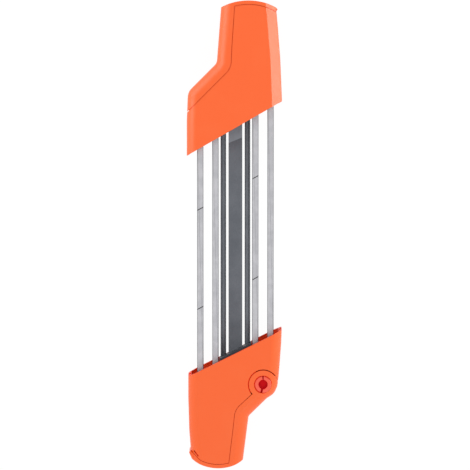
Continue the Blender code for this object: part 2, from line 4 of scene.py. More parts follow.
import bmesh
import bpy
from mathutils import Matrix, Vector
from mathutils.bvhtree import BVHTree


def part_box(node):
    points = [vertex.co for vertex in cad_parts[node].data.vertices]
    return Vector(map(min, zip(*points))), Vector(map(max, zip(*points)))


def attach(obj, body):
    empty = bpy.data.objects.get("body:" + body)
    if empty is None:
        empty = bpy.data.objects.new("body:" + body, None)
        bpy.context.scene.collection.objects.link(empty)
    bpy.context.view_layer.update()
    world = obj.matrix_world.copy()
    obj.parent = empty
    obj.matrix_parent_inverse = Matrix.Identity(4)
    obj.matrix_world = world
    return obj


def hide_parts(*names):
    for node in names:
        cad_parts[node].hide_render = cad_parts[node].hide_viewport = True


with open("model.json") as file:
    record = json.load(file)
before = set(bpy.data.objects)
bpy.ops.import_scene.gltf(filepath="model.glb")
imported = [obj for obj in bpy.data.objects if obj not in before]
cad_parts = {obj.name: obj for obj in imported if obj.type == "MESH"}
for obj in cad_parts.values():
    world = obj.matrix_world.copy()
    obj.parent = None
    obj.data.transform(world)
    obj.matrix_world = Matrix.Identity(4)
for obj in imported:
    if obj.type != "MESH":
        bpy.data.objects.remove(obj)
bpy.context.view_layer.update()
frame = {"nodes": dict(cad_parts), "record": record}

MM = 0.001

# Handles, in millimetres
DEPTH = 36
MIDDLE = 18
WALL = 2.4
GAP = 0.4
ROUNDING = 8
END_Y = 180
FACET = 7.8
FACET_ANGLE = math.radians(40)

# Seams: how deep under the skin the lap and the tongue start, and how far they reach from the edge
LAP_DEPTH = 1.1
LAP_REACH = 2.2
TONGUE_DEPTH = 1.4
TONGUE_REACH = 1.8

# Allowances: what joined forms share, how far in a face is inside and takes the painted shade, and what is past both
# sides
OVERLAP = 0.1
SKIN = 0.9
FAR = 80

# Screws: radii of their round posts, holes and seats, and their lengths
BOSS = 4.4
HOLE = 1.8
SEAT = 3.2
SEAT_DEPTH = 2.8
SHELL_SCREW = 33
COVER_SCREW = 12

# Square posts that take the screws of the upper cover
POST_HALF = 5
POST_START = 4.7
POST_LENGTH = 14

# Hinge of the lower cover: radii from its axis, the depth of the ear's sinks and the arms' angle
EAR = 10.9
EAR_SHOULDER = 11.5
EAR_HOLLOW = 9
EAR_BORE = 6.55
EAR_SINK = 7
EAR_SINK_DEPTH = 1.3
EAR_LIP = 13.3
EAR_SEAM_END = 16.6
BARREL = 6.8
BARREL_BORE = 5.1
ARM_ANGLE = math.radians(185)

# Files, rails and holders
RAILS = ("outer_left_rail", "inner_left_rail", "inner_right_rail", "outer_right_rail")
ROUND_FILES = ("left_round_file", "right_round_file")
TOOTH_PITCH = 0.62
TOOTH_DEPTH = 0.13
SPIRAL_STARTS = 6
CUT_ANGLE = math.radians(22.8)
CUT_PITCH = 0.8
CUT_DEPTH = 0.14
TOOTH_RISE = 0.7
PLAIN_FROM = 72.5
RAIL_PIN_BORE = 1.55
FILE_BORE = 2.5
HOLDER_LOW = 12
HOLDER_HIGH = 29
HOLDER_SIDE = 31.25
HOLDER_STEP = 12.4
HOLDER_SINK = 4

# Gauge lines: the rail, and the height of the line's middle on it
GAUGE_LINES = [
    ("outer_left_rail", 20.1),
    ("outer_left_rail", -56.6),
    ("inner_right_rail", 44.4),
    ("inner_right_rail", -33.6),
]
GAUGE_ANGLE = math.radians(29)
GAUGE_HALF_WIDTH = 0.4

# Angle in degrees from which an edge is sharp
EDGE_ANGLE = 35

# Plan outlines as (x, y, corner radius), from the flat file's axis
UPPER_OUTLINE = [
    (35.79, 20, 0),
    (35.79, 105.2, 0),
    (34.59, 134.42, 0),
    (32.68, 158.96, 0),
    (29.9, 190.03, 0),
    (-9.81, 190.03, 0),
    (-14.31, 132.27, 5.86),
    (-36.49, 110.07, 9),
    (-37.41, 88.25, 0),
    (-37.41, 20, 0),
]
LOWER_OUTLINE = [
    (35.79, -20, 0),
    (35.9, -70.41, 0),
    (35.39, -84.03, 0),
    (33.6, -107.52, 0),
    (33, -112.82, 0),
    (32.7, -115.3, 0),
    (32.25, -117.5, 0),
    (29.9, -122.9, 8.24),
    (24.3, -126.5, 0),
    (10.2, -140.3, 2.96),
    (3.84, -189.96, 0),
    (-33.2, -189.96, 0),
    (-34.6, -165, 0),
    (-35.7, -151, 0),
    (-36.45, -125.98, 0),
    (-36.42, -20, 0),
]

# The shells' side of each seam, in the same way, from the mouth's right end round
UPPER_SEAM = [
    (FAR, 200, 0),
    (1.21, 200, 0),
    (-2.6, 142.89, 0),
    (-3.18, 128.18, 12.08),
    (-34.81, 96.53, 0),
    (-FAR, 52.9, 0),
]
LOWER_SEAM = [
    (FAR, -113.9, 0),
    (32.8, -113.9, 0),
    (12.49, -122.5, 0),
    (-0.4, -134.39, 12),
    (-2.2, -150.75, 0),
    (-5.9, -181, 0),
    (-24.5, -181, 0),
    (-25.9, -174.32, 0),
    (-28.18, -172.51, 0),
    (-31.18, -169.67, 0),
    (-34.51, -166.38, 0),
    (-FAR, -166.38, 0),
]

# Small forms of the covers
UPPER_LIP = [
    (29.61, 173.38, 0),
    (31.4, 174.6, 0),
    (32.32, 173.28, 0),
    (31.81, 172.4, 0),
    (30.6, 172.4, 0),
]
LOWER_LIP = [
    (-34.6, -166.9, 0),
    (-35.75, -168.4, 0),
    (-34.1, -171.8, 0),
    (-32, -173.2, 0),
    (-31.6, -169.9, 0),
    (-33.2, -168.4, 0),
]
LATCH = [
    (-31.11, -158.06, 0),
    (-29.9, -158.06, 0),
    (-29.28, -170.86, 0),
    (-32.39, -171.96, 0),
    (-32.21, -170.22, 0),
    (-30.85, -170.04, 0),
]
FILE_STOP = [
    (-11.53, -131.54, 0),
    (11.53, -118.34, 0),
    (18.41, -128.72, 0),
    (14.31, -132.65, 0),
    (8.53, -123.05, 0),
    (-11.53, -134.54, 0),
]
RELEASE_SLOT = (-30.3, -168.7, 0)
SLOT_ANGLE = math.radians(130)

# The hinge pin as (radius, height), from the floor of its hollow round to the back
PIN_FLOOR = 32.8
PIN_SLIT = 33.4
PIN_PROFILE = [
    (0, PIN_FLOOR),
    (3.5, PIN_FLOOR),
    (3.5, 35.2),
    (3.8, 35.6),
    (5.9, 35.6),
    (6.4, 35.1),
    (6.4, 30.7),
    (4.8, 30.7),
    (4.8, 5.3),
    (6.4, 5.3),
    (6.4, 0.9),
    (5.9, 0.4),
    (0, 0.4),
]


# Modelling

def plate(corners, low, high, rounding=0.0, grow=0.0, profile=0.5):
    """A solid over a plan outline of (x, y, radius) corners, with its rims rounded."""
    bm = bmesh.new()
    spots = [bm.verts.new((x, y, low)) for x, y, _ in corners]
    bm.faces.new(spots)
    cuts = []
    for index, (x, y, radius) in enumerate(corners):
        back = Vector(corners[index - 1][:2]) - Vector((x, y))
        ahead = Vector(corners[(index + 1) % len(corners)][:2]) - Vector((x, y))
        cuts.append(radius / math.tan(back.angle(ahead) / 2))
    for spot, cut, (_, _, radius) in zip(spots, cuts, corners):
        if radius:
            steps = max(8, round(radius))
            bmesh.ops.bevel(bm, geom=[spot], offset=cut, affect="VERTICES", segments=steps, profile=0.5, material=-1)
    if grow:
        rim = bmesh.ops.inset_region(bm, faces=bm.faces[:], thickness=-grow, use_boundary=True, use_even_offset=True)
        bmesh.ops.delete(bm, geom=rim["faces"], context="FACES")
    lifted = bmesh.ops.extrude_face_region(bm, geom=bm.faces[:])["geom"]
    lifted = [item for item in lifted if isinstance(item, bmesh.types.BMVert)]
    bmesh.ops.translate(bm, verts=lifted, vec=(0, 0, high - low))
    bmesh.ops.recalc_face_normals(bm, faces=bm.faces)
    if rounding:
        rims = [edge for edge in bm.edges if edge.verts[0].co.z == edge.verts[1].co.z]
        bmesh.ops.bevel(bm, geom=rims, offset=rounding, affect="EDGES", segments=10, profile=profile, material=-1)
    return bm


def rod(radius, start, end, sides=48):
    """A cylinder between two points."""
    start, end = Vector(start), Vector(end)
    spot = Matrix.Translation((start + end) / 2) @ (end - start).to_track_quat("Z", "Y").to_matrix().to_4x4()
    bm = bmesh.new()
    depth = (end - start).length
    bmesh.ops.create_cone(bm, cap_ends=True, segments=sides, radius1=radius, radius2=radius, depth=depth, matrix=spot)
    return bm


def upright(radius, plan, low, high, sides=48):
    return rod(radius, (plan[0], plan[1], low), (plan[0], plan[1], high), sides)


def past(margin):
    """The heights that lie behind the handles' back and before their front by a margin."""
    return -margin, DEPTH + margin


def block(first, second, pivot=(0, 0, 0), turn=0.0):
    """A box between two corners that are counted from the pivot and turned about it."""
    first, second = Vector(first), Vector(second)
    size = [abs(length) for length in second - first]
    spot = Matrix.Translation(pivot) @ Matrix.Rotation(turn, 4, "Z") @ Matrix.Translation((first + second) / 2)
    bm = bmesh.new()
    bmesh.ops.create_cube(bm, size=1, matrix=spot @ Matrix.Diagonal((*size, 1)))
    return bm


def spun(profile, sides=48, lift=0.0):
    """A profile of (radius, height) points turned about +Z, and lifted by lift over the turn."""
    bm = bmesh.new()
    spots = [bm.verts.new((radius, 0, height)) for radius, height in profile]
    for first, second in zip(spots, spots[1:]):
        bm.edges.new((first, second))
    bmesh.ops.spin(
        bm,
        geom=bm.verts[:] + bm.edges[:],
        cent=(0, 0, 0),
        axis=(0, 0, 1),
        dvec=(0, 0, lift / sides),
        angle=math.tau,
        steps=sides,
        use_merge=lift == 0,
    )
    bmesh.ops.remove_doubles(bm, verts=bm.verts, dist=0.001)
    bmesh.ops.recalc_face_normals(bm, faces=bm.faces)
    return bm


def trim(bm, point, outward):
    """Take off all of a mesh beyond a plane, and close it there."""
    geom = bm.verts[:] + bm.edges[:] + bm.faces[:]
    bmesh.ops.bisect_plane(bm, geom=geom, plane_co=point, plane_no=outward, clear_outer=True)
    bmesh.ops.holes_fill(bm, edges=bm.edges)


def as_object(name, bm):
    mesh = bpy.data.meshes.new(name)
    bm.to_mesh(mesh)
    bm.free()
    obj = bpy.data.objects.new(name, mesh)
    bpy.context.scene.collection.objects.link(obj)
    return obj


def worked(body, operation, *tools):
    """The body after it is cut by, joined with or kept inside each tool."""
    body = as_object("work", body)
    helpers = [as_object("tool", tool) for tool in tools]
    for helper in helpers:
        modifier = body.modifiers.new("work", "BOOLEAN")
        modifier.operation = operation
        modifier.object = helper
    bm = bmesh.new()
    bm.from_object(body, bpy.context.evaluated_depsgraph_get())
    for obj in (body, *helpers):
        bpy.data.objects.remove(obj)
    return bm


def cut(body, *tools):
    return worked(body, "DIFFERENCE", *tools)


def join(body, *tools):
    return worked(body, "UNION", *tools)


def keep(body, *tools):
    return worked(body, "INTERSECT", *tools)


def flat_box(node):
    """A CAD node's corners in millimetres from the flat file's axis."""
    low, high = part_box(node)
    return (low - axis_shift) / MM, (high - axis_shift) / MM


def plan_centre(node):
    low, high = flat_box(node)
    return (low + high) / 2


file_low, file_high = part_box("flat_file")
axis_shift = Vector(((file_low.x + file_high.x) / 2, 0, 0))
hinge = plan_centre("hinge_pin")
hinge.z = 0
slot_of = {row["node"]: row["material_slot"] for row in frame["record"]["subparts"]}


def piece(node, suffix, bm, materials, body="body", edge=0.0, sharp=EDGE_ANGLE):
    """A finished piece in its place, on its body, standing for its CAD node."""
    bmesh.ops.transform(bm, matrix=Matrix.Translation(axis_shift) @ Matrix.Scale(MM, 4), verts=bm.verts)
    obj = as_object(node + "_" + suffix, bm)
    for material in materials:
        obj.data.materials.append(material)
    obj.data.shade_smooth()
    obj.data.set_sharp_from_angle(angle=math.radians(sharp))
    if edge:
        bevel = obj.modifiers.new("edge", "BEVEL")
        bevel.width = edge * MM
        bevel.segments = 2
        bevel.limit_method = "ANGLE"
        bevel.angle_limit = math.radians(EDGE_ANGLE)
        shading = obj.modifiers.new("shading", "WEIGHTED_NORMAL")
        shading.keep_sharp = True
    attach(obj, body)
    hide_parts(node)
    return obj


# Materials

class Shade:
    """A socket of a shader. Arithmetic on it adds Math nodes."""

    def __init__(self, socket):
        self.socket = socket

    def node(self, kind, settings, values, output=0):
        """A node in the same tree: its settings are made first, then its sockets' values or links."""
        tree = self.socket.id_data
        node = tree.nodes.new(kind)
        for key, setting in settings.items():
            setattr(node, key, setting)
        for key, value in values.items():
            if isinstance(value, Shade):
                tree.links.new(value.socket, node.inputs[key])
            else:
                node.inputs[key].default_value = value
        return Shade(node.outputs[output])

    def math(self, operation, first, second=0.0, third=0.0):
        return self.node("ShaderNodeMath", {"operation": operation}, {0: first, 1: second, 2: third})

    def __add__(self, other):
        return self.math("ADD", self, other)

    def __sub__(self, other):
        return self.math("SUBTRACT", self, other)

    def __rsub__(self, other):
        return self.math("SUBTRACT", other, self)

    def __mul__(self, other):
        return self.math("MULTIPLY", self, other)

    def __gt__(self, other):
        return self.math("GREATER_THAN", self, other)

    __radd__ = __add__

    def noise(self, scale, detail=2.0):
        """Smooth noise from 0 to 1 over these coordinates."""
        return self.node("ShaderNodeTexNoise", {}, {"Vector": self, "Scale": scale, "Detail": detail})

    def stretched(self, scale, turn=0.0):
        """These coordinates scaled by axis, after a turn about Z."""
        return self.node("ShaderNodeMapping", {}, {"Vector": self, "Rotation": (0, 0, turn), "Scale": scale})

    def between(self, low, high):
        """This value as 0 below low and 1 above high, smooth between them."""
        values = {"Value": self, "From Min": low, "From Max": high}
        return self.node("ShaderNodeMapRange", {"interpolation_type": "SMOOTHSTEP"}, values)

    def blend(self, first, second):
        """The first colour where this value is 0, and the second where it is 1."""
        values = {0: self, 6: first, 7: second}
        return self.node("ShaderNodeMix", {"data_type": "RGBA"}, values, 2)

    def bump(self, depth):
        """A normal from this height, whose 1 is depth in metres."""
        return self.node("ShaderNodeBump", {}, {"Height": self, "Distance": depth})


def new_finish(name, metallic):
    """A material, its shader and its Object coordinates."""
    material = bpy.data.materials.new(name)
    material.use_nodes = True
    tree = material.node_tree
    shader = tree.nodes["Principled BSDF"]
    shader.inputs["Metallic"].default_value = metallic
    return material, shader, Shade(tree.nodes.new("ShaderNodeTexCoord").outputs["Object"])


def dress(shader, colour, roughness, normal):
    links = shader.id_data.links
    links.new(colour.socket, shader.inputs["Base Color"])
    links.new(roughness.socket, shader.inputs["Roughness"])
    links.new(normal.socket, shader.inputs["Normal"])


def moulded_plastic(name, colour, rubbed, roughness, grain_depth, gloss=0.5):
    """Plastic from a finely eroded mould, a little rubbed by handling."""
    material, shader, place = new_finish(name, 0)
    shader.inputs["Specular IOR Level"].default_value = gloss
    grain = place.noise(2300, 3)
    cloud = place.noise(45, 3)
    scuffs = place.stretched((160, 1300, 160), math.radians(35)).noise(1, 2).between(0.66, 0.76)
    wear = cloud.between(0.45, 0.75) * 0.35 + scuffs * 0.4
    dress(
        shader,
        wear.blend((*colour, 1), (*rubbed, 1)),
        roughness + cloud * 0.12 - wear * 0.1 + grain * 0.05,
        (grain + scuffs * -0.3).bump(grain_depth),
    )
    return material


def plated_steel():
    """Zinc-plated rails: lines from drawing along Y, a faint bloom, and four slanted black gauge marks."""
    material, shader, place = new_finish("plated_rail_steel", 1)
    x, y, _ = separate(place)
    drawn = place.stretched((5200, 30, 5200)).noise(1, 3)
    bloom = place.noise(170, 4)
    marks = gauge_marks(x, y)
    colour = (bloom.between(0.3, 0.75) * 0.45 + drawn * 0.55).blend((0.42, 0.42, 0.445, 1), (0.59, 0.585, 0.61, 1))
    dress(
        shader,
        marks.blend(colour, (0.02, 0.02, 0.022, 1)),
        0.3 + bloom * 0.16 + drawn * 0.1 + marks * 0.2,
        (drawn + bloom * 0.4 - marks * 0.8).bump(0.00002),
    )
    shader.id_data.links.new((1 - marks).socket, shader.inputs["Metallic"])
    return material


def separate(place):
    tree = place.socket.id_data
    node = tree.nodes.new("ShaderNodeSeparateXYZ")
    tree.links.new(place.socket, node.inputs[0])
    return [Shade(output) for output in node.outputs]


def gauge_marks(x, y):
    """Thin slanted lines across the outer left and the inner right rail."""
    slope = math.tan(GAUGE_ANGLE)
    rise = y - x * slope
    marks = None
    for rail, middle in GAUGE_LINES:
        low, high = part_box(rail)
        centre = (low.x + high.x) / 2
        line = x.math("COMPARE", rise, middle * MM - centre * slope, GAUGE_HALF_WIDTH * MM)
        line = line * x.math("COMPARE", x, centre, (high.x - low.x) / 2)
        marks = line if marks is None else marks + line
    return marks


def cut_steel(name, plain, metallic):
    """Dark hardened steel with cut teeth, and brighter on the flat file's plain end."""
    material, shader, place = new_finish(name, metallic)
    x, y, _ = separate(place)
    fine = place.stretched((900, 2600, 900)).noise(1, 3)
    cloud = place.noise(60, 3)
    colour = (fine * 0.5 + cloud * 0.5).between(0.3, 0.7).blend((0.125, 0.133, 0.150, 1), (0.185, 0.194, 0.215, 1))
    if plain:
        end = (y - x * math.tan(CUT_ANGLE) - PLAIN_FROM * MM) > 0.0
        colour = end.blend(colour, (0.23, 0.24, 0.265, 1))
    dress(shader, colour, 0.36 + fine * 0.2 + cloud * 0.1, fine.bump(0.00002))
    return material


def screw_steel():
    """Zinc-plated screws and pins, with faint turning lines."""
    material, shader, place = new_finish("screw_steel", 1)
    turned = place.noise(1800, 2)
    bloom = place.noise(260, 3)
    dress(
        shader,
        bloom.between(0.3, 0.7).blend((0.27, 0.27, 0.28, 1), (0.42, 0.42, 0.43, 1)),
        0.28 + turned * 0.15 + bloom * 0.08,
        turned.bump(0.00001),
    )
    return material


orange = moulded_plastic("orange_moulded_plastic", (0.985, 0.130, 0.017), (0.99, 0.150, 0.028), 0.27, 0.00002)
# Painted shade: a darker, redder orange for the faces inside the handles' hollows and seams
painted_shade_orange = moulded_plastic("orange_plastic_painted_shade", (0.995, 0.060, 0.010), (0.995, 0.070, 0.012), 0.4, 0.00001, 0.12)
red = moulded_plastic("red_pin_plastic", (0.965, 0.112, 0.060), (0.98, 0.14, 0.085), 0.34, 0.00001)
# Painted shade: a deep red for the faces inside the hinge pin's hollow and slits
painted_shade_red = moulded_plastic("red_pin_plastic_inside", (0.70, 0.003, 0.008), (0.72, 0.005, 0.011), 0.45, 0.00001, 0.1)
dark = moulded_plastic("dark_holder_plastic", (0.045, 0.048, 0.058), (0.06, 0.063, 0.072), 0.42, 0.00002)
rail_steel = plated_steel()
round_file_steel = cut_steel("round_file_steel", False, 0.6)
flat_file_steel = cut_steel("flat_file_steel", True, 1)
steel = screw_steel()

slot_materials = {
    "orange_plastic": orange,
    "red_plastic": red,
    "dark_plastic": dark,
    "plated_steel": rail_steel,
    "file_steel": flat_file_steel,
    "screw_steel": steel,
}
for name, node in frame["nodes"].items():
    node.data.materials.clear()
    node.data.materials.append(slot_materials[slot_of[name]])


# Handles

class Handle:
    """The plan of one handle: its outline, the slanted line of its mouth and the arc of its end."""

    def __init__(self, name, side, outline, seam, mouth_y, mouth_angle, crown_x, end_radius):
        self.name = name
        self.side = side
        self.outline = outline
        self.seam = seam
        self.mouth_y = mouth_y
        self.slope = math.tan(math.radians(mouth_angle))
        self.crown_x = crown_x
        self.end_radius = end_radius

    def mouth(self, x, depth=0.0):
        return (x, self.mouth_y + self.side * depth + x * self.slope, 0)

    def plan(self, inset, mouth_depth=0.0):
        """Corners of all between the mouth line and the end arc moved in by inset, well past both sides."""
        radius = self.end_radius - inset
        top = self.side * (END_Y - self.end_radius + radius * math.sqrt(2))
        return [
            self.mouth(-FAR, mouth_depth),
            self.mouth(FAR, mouth_depth),
            (self.crown_x + FAR, top - self.side * FAR, 0),
            (self.crown_x, top, radius),
            (self.crown_x - FAR, top - self.side * FAR, 0),
        ]

    def hull(self, depth):
        """The handle's solid form moved in by depth, and running on past its mouth."""
        bm = plate(self.outline, depth, DEPTH - depth, ROUNDING - depth, grow=-depth, profile=0.42)
        if self.side > 0:
            self.facet(bm, depth)
        return keep(bm, plate(self.plan(depth, -20 - depth), *past(10)))

    def facet(self, bm, depth):
        """Flats along the outer side, where the photograph shows a crisp band of light."""
        for start, end in zip(self.outline[:4], self.outline[1:5]):
            along = (Vector(end) - Vector(start)).to_2d().normalized()
            out = Vector((along.y, -along.x, 0))
            for level, up in ((DEPTH, 1), (0, -1)):
                slant = out * math.sin(FACET_ANGLE) + Vector((0, 0, up)) * math.cos(FACET_ANGLE)
                trim(bm, Vector((start[0], start[1], level)) - out * FACET - slant * depth, slant)
        bmesh.ops.remove_doubles(bm, verts=bm.verts, dist=0.01)

    def region(self, low, high, grow=0.0, mouth_depth=0.0):
        """The space of the two shells, between the mouth and the seam."""
        mouth = [self.mouth(-FAR, mouth_depth), self.mouth(FAR, mouth_depth)]
        whole = plate(mouth + self.seam, low, high, grow=grow)
        whole = keep(whole, plate(self.plan(WALL + 2 * GAP - grow, -40), low - 1, high + 1))
        if self.side < 0:
            whole = cut(whole, upright(EAR + 2 * (GAP - grow), hinge, low - 1, high + 1, 96))
        return whole


upper = Handle("upper", 1, UPPER_OUTLINE, UPPER_SEAM, 82.6, 29.8, 9.99, 46)
lower = Handle("lower", -1, LOWER_OUTLINE, LOWER_SEAM, -91.15, 26.45, -13.29, 34)


def seam_band(handle, outward, inward):
    """The space along a seam, from outward of the shells' edge to inward of it. It stops short of the ear."""
    band = cut(handle.region(*past(10), outward, -10), handle.region(*past(20), -inward, -30))
    if handle.side < 0:
        band = cut(band, upright(EAR_SEAM_END + outward, hinge, *past(30), 96))
    return band


def make_shells(handle):
    """The hollow front shell, back shell and end cover of a handle, lapped along its seam."""
    hollow = cut(handle.hull(0), handle.hull(WALL))
    lap = keep(handle.hull(LAP_DEPTH), seam_band(handle, 0.2, LAP_REACH))
    tongue = cut(handle.hull(TONGUE_DEPTH), handle.hull(WALL - OVERLAP))
    tongue = keep(tongue, seam_band(handle, GAP + 0.5, TONGUE_REACH))
    front = cut(keep(hollow.copy(), handle.region(MIDDLE + GAP / 2, DEPTH + 10)), lap.copy())
    back = cut(keep(hollow.copy(), handle.region(-10, MIDDLE - GAP / 2, 0, -0.5)), lap)
    cover = keep(hollow, plate(handle.plan(0), *past(10)))
    cover = join(cut(cover, handle.region(*past(20), GAP, -10)), tongue)
    for number in (1, 2, 3, 4):
        plan = plan_centre(f"{handle.name}_shell_screw_{number}")
        low, high = (HOLDER_LOW - 0.3, HOLDER_HIGH + 0.3) if number < 3 else (MIDDLE - 0.15, MIDDLE + 0.15)
        front = join(front, upright(BOSS, plan, high, DEPTH - WALL / 2))
        back = join(back, upright(BOSS, plan, WALL / 2, low))
        front = cut(front, upright(HOLE, plan, -5, DEPTH - WALL))
        back = cut(back, upright(HOLE, plan, -5, DEPTH - WALL), upright(SEAT, plan, -5, SEAT_DEPTH))
    return front, back, cover


def fasten_cover(front, cover, outside, inwards):
    """A screw's hole and seat in the upper cover, and the post behind it that hangs from the front shell."""
    outside, inwards = Vector((*outside, MIDDLE)), Vector((*inwards, 0))
    side = Vector((inwards.y, inwards.x, 0)) * POST_HALF
    rise = Vector((0, 0, POST_HALF))
    start = outside + inwards * POST_START
    end = start + inwards * POST_LENGTH
    cover = join(cover, rod(BOSS, outside + inwards * WALL / 2, outside + inwards * (POST_START - 0.3)))
    front = join(front, block(start - side - rise, end + side + rise))
    to_front = Vector((0, 0, DEPTH - WALL / 2 - MIDDLE))
    front = join(front, block(end - inwards * POST_LENGTH / 2 - side, end + side + to_front))
    hole = rod(HOLE, outside - inwards * 20, outside + inwards * (COVER_SCREW + 2))
    seat = rod(SEAT, outside - inwards * 20, outside + inwards * SEAT_DEPTH)
    return cut(front, hole.copy()), cut(cover, hole, seat)


def sector(spokes, low, high):
    """The space round the hinge between the first and the last spoke, each an (angle, reach)."""
    corners = [(hinge.x, hinge.y, 0)]
    for angle, reach in spokes:
        turn = math.radians(angle)
        corners.append((hinge.x + reach * math.cos(turn), hinge.y + reach * math.sin(turn), 0))
    return plate(corners, low, high)


def add_pivot(shell, parting, tip, wall):
    """A shell's half of the hinge barrel, on an arm and a foot, and the lip behind the ear's seam."""
    up = math.copysign(1, tip - parting)
    arm = block((0, -5, tip), (16, 5, tip - 3 * up), hinge, ARM_ANGLE)
    foot = block((12, -4, wall), (15.7, 4, tip - 1.5 * up), hinge, ARM_ANGLE)
    lip = cut(upright(EAR_LIP, hinge, *past(5), 96), upright(EAR + 0.15, hinge, *past(9), 96))
    lip = keep(lip, lower.hull(WALL / 2), sector(((118, 30), (165, 60), (213, 30)), parting, parting + 25 * up))
    lip = cut(lip, lower.hull(WALL - OVERLAP))
    shell = join(shell, upright(BARREL, hinge, parting, tip), arm, foot, lip)
    return cut(shell, upright(BARREL_BORE, hinge, *past(5)))


def finish_lower_cover(cover):
    """The lower cover with its lip, latch pad, file stop and shoulder, and with its ear bored for the pin."""
    pad = block((-2.4, -1.2, 26), (2.4, 1.2, 31.9), RELEASE_SLOT, SLOT_ANGLE)
    latch = join(plate(LATCH, 13, 31.4), pad)
    latch = cut(latch, cut(lower.region(*past(20), GAP, -10), lower.hull(WALL + GAP)))
    shoulder = cut(lower.hull(0), lower.hull(WALL))
    shoulder = keep(shoulder, sector(((-12, 30), (12, 30), (36, 30)), *past(5)))
    shoulder = keep(shoulder, upright(EAR_SHOULDER, hinge, *past(5), 96))
    shoulder = cut(shoulder, upright(EAR_HOLLOW, hinge, *past(9)))
    cover = join(cover, plate(LOWER_LIP, 4, 32), latch, plate(FILE_STOP, 11, 25), shoulder)
    front_sink = upright(EAR_SINK, hinge, DEPTH - EAR_SINK_DEPTH, DEPTH + 5, 64)
    back_sink = upright(EAR_SINK, hinge, -5, EAR_SINK_DEPTH, 64)
    return cut(cover, front_sink, back_sink, upright(EAR_BORE, hinge, *past(9), 64))


def mould(handle, node, bm, body="body"):
    """A moulded piece of a handle, with a darker, redder orange painted as shade on all faces behind its outer skin."""
    skin = BVHTree.FromBMesh(handle.hull(0))
    for face in bm.faces:
        centre = face.calc_center_median()
        spot, normal, _, distance = skin.find_nearest(centre)
        face.material_index = int(distance > SKIN and (centre - spot).dot(normal) < 0)
    piece(node, "moulding", bm, (orange, painted_shade_orange), body, edge=0.25, sharp=20)


def make_upper_handle():
    front, back, cover = make_shells(upper)
    front, cover = fasten_cover(front, cover, (-12.92, 150), (1, 0))
    front, cover = fasten_cover(front, cover, (upper.crown_x, END_Y), (0, -1))
    cover = join(cover, plate(UPPER_LIP, 9, 27))
    mould(upper, "upper_front_shell", front)
    mould(upper, "upper_back_shell", back)
    mould(upper, "upper_end_cover", cover)


def make_lower_handle():
    front, back, cover = make_shells(lower)
    front = add_pivot(front, MIDDLE + GAP / 2, 30.4, DEPTH - WALL / 2)
    back = add_pivot(back, MIDDLE - GAP / 2, 5.6, WALL / 2)
    front = cut(front, block((-2.7, -0.45, 24), (2.7, 0.45, DEPTH + 5), RELEASE_SLOT, SLOT_ANGLE))
    mould(lower, "lower_front_shell", front)
    mould(lower, "lower_back_shell", back)
    mould(lower, "lower_end_cover", finish_lower_cover(cover), "lower_cover")


make_upper_handle()
make_lower_handle()


def make_hinge_pin():
    """A snap pin: two half rings round a hollow, split to the front. Its inside faces take a deeper red, painted as the
    shade of the hollow and the slits.
    """
    upper_slit = block((-0.5, 0, PIN_SLIT), (0.5, 20, 50))
    lower_slit = block((-0.8, -20, PIN_SLIT), (0.8, 0, 50), turn=math.radians(-12))
    pin = cut(spun(PIN_PROFILE, 64), upper_slit, lower_slit)
    for face in pin.faces:
        centre = face.calc_center_median()
        recess = centre.xy.length < 3.6 and 20 < centre.z < 35.1
        slit = abs(centre.x) < 1.8 and centre.xy.length < 6.1 and 33 < centre.z < 35.5
        face.material_index = int(recess or slit)
    bmesh.ops.translate(pin, verts=pin.verts, vec=hinge)
    return pin


piece("hinge_pin", "snap", make_hinge_pin(), (red, painted_shade_red), edge=0.2)


# Files, rails and holders

def make_round_file(node):
    """A round file with its teeth cut in a spiral."""
    low, high = flat_box(node)
    centre = (low + high) / 2
    crest = (high.x - low.x) / 2
    lead = SPIRAL_STARTS * TOOTH_PITCH
    profile = []
    for tooth in range(math.ceil((high.y - low.y + lead) / TOOTH_PITCH) + 2):
        level = low.y - lead + (tooth - 1) * TOOTH_PITCH
        profile += [(crest - TOOTH_DEPTH, level), (crest, level + TOOTH_RISE * TOOTH_PITCH)]
    bm = spun(profile, 24, lead)
    trim(bm, (0, 0, low.y), (0, 0, -1))
    trim(bm, (0, 0, high.y), (0, 0, 1))
    spot = Matrix.Translation((centre.x, 0, centre.z)) @ Matrix.Rotation(-math.pi / 2, 4, "X")
    bmesh.ops.transform(bm, matrix=spot, verts=bm.verts)
    return bm


def make_flat_file(node):
    """A flat file with slanted teeth cut across both its faces, and a plain end under the upper handle."""
    low, high = flat_box(node)
    half = high.x
    skew = half * math.tan(CUT_ANGLE)
    teeth = []
    for tooth in range(math.ceil((PLAIN_FROM - low.y + 2 * skew) / CUT_PITCH)):
        level = PLAIN_FROM - tooth * CUT_PITCH
        teeth += [(level, CUT_DEPTH), (level - TOOTH_RISE * CUT_PITCH, 0)]
    end = high.y + 2 * skew
    side = [(end, CUT_DEPTH / 2), (PLAIN_FROM + 0.1, CUT_DEPTH / 2)] + teeth
    outline = [(y, high.z - sink) for y, sink in side] + [(y, low.z + sink) for y, sink in reversed(side)]
    bm = bmesh.new()
    bm.faces.new([bm.verts.new((-half, y - skew, z)) for y, z in outline])
    across = bmesh.ops.extrude_face_region(bm, geom=bm.faces[:])["geom"]
    across = [item for item in across if isinstance(item, bmesh.types.BMVert)]
    bmesh.ops.translate(bm, verts=across, vec=(2 * half, 2 * skew, 0))
    bmesh.ops.recalc_face_normals(bm, faces=bm.faces)
    trim(bm, (0, low.y, 0), (0, -1, 0))
    trim(bm, (0, high.y, 0), (0, 1, 0))
    return bm


def pin_spot(rail, end):
    return plan_centre(f"{rail.removesuffix('_rail')}_{end}_pin")


def make_rail(rail):
    """A rail with the bores of its two pins."""
    low, high = flat_box(rail)
    pins = [pin_spot(rail, end) for end in ("upper", "lower")]
    return cut(block(low, high), *[upright(RAIL_PIN_BORE, pin, low.z - 5, high.z + 5, 24) for pin in pins])


